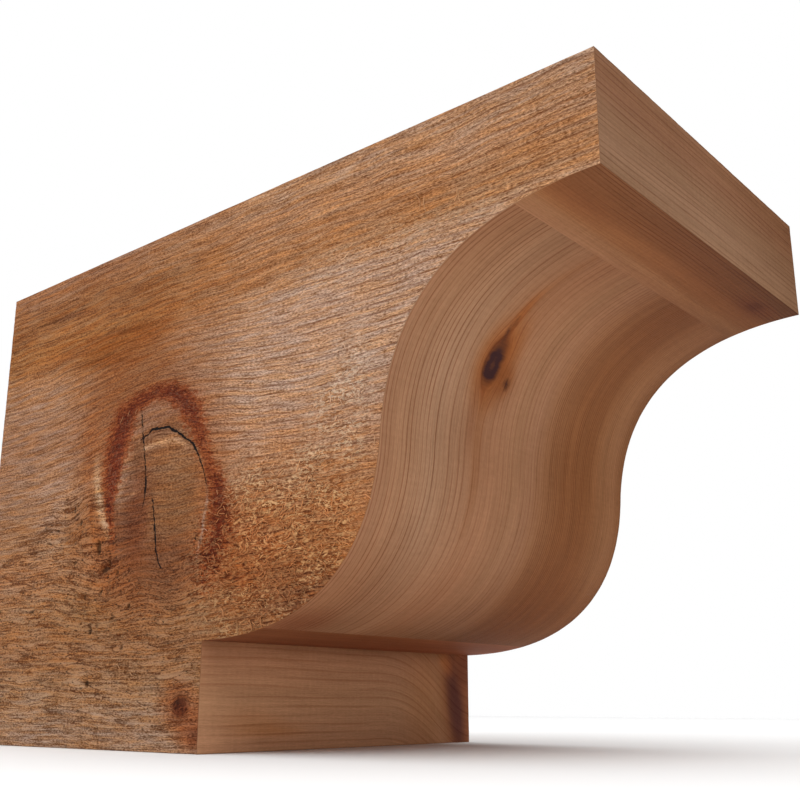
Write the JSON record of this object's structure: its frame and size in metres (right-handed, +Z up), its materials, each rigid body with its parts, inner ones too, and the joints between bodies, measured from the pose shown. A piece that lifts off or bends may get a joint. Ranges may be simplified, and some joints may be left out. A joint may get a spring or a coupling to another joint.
{
  "type": "carved rafter tail",
  "caption": "Rough-sawn cedar rafter end that carries the eaves, its underside cut to a smooth S curve between a square nose above and a square step below.",
  "frame": {"origin": "centre of the bounding box, on the underside that the block stands on", "axes": "+X along the rafter towards the nose, +Y across the timber, +Z up towards the roof"},
  "size_m": [0.3048, 0.1524, 0.1969],
  "materials": {
    "cedar": "dry unfinished cedar: rough-sawn on the squared sides, smooth on the cut curve, the nose and the step"
  },
  "bodies": {
    "root": {"rafter_tail": "cedar"}
  },
  "joints": []
}
